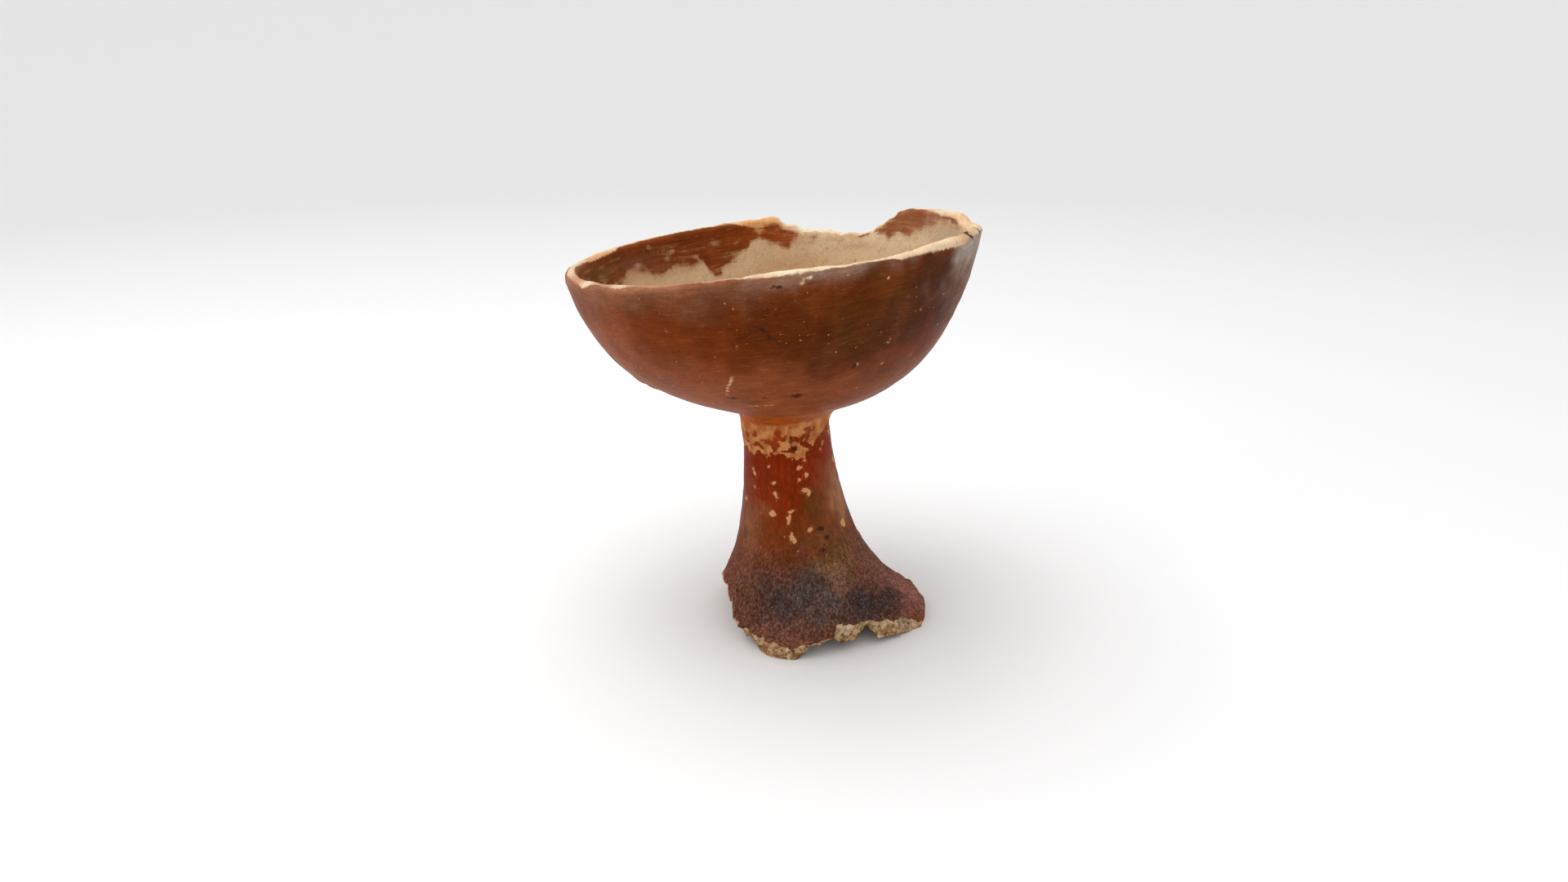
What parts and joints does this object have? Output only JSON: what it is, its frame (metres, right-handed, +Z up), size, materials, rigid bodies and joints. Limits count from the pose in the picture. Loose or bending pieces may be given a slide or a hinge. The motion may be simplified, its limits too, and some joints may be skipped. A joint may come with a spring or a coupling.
{
  "type": "pedestal cup",
  "caption": "Hand-built fired-clay cup: a deep round bowl on a stem with a hollow flared foot. Rim and foot are broken, so it stands leaning.",
  "frame": {"origin": "centre of the bounding box in plan, at the height of the table that the broken foot stands on", "axes": "+Z up; the cup leans towards -X, and the picture looks along +Y"},
  "size_m": [0.148, 0.1498, 0.1555],
  "materials": {
    "fired_clay": "worn red-brown slip, burnished, over buff clay"
  },
  "bodies": {
    "root": {"pedestal_cup": "fired_clay"}
  },
  "joints": []
}
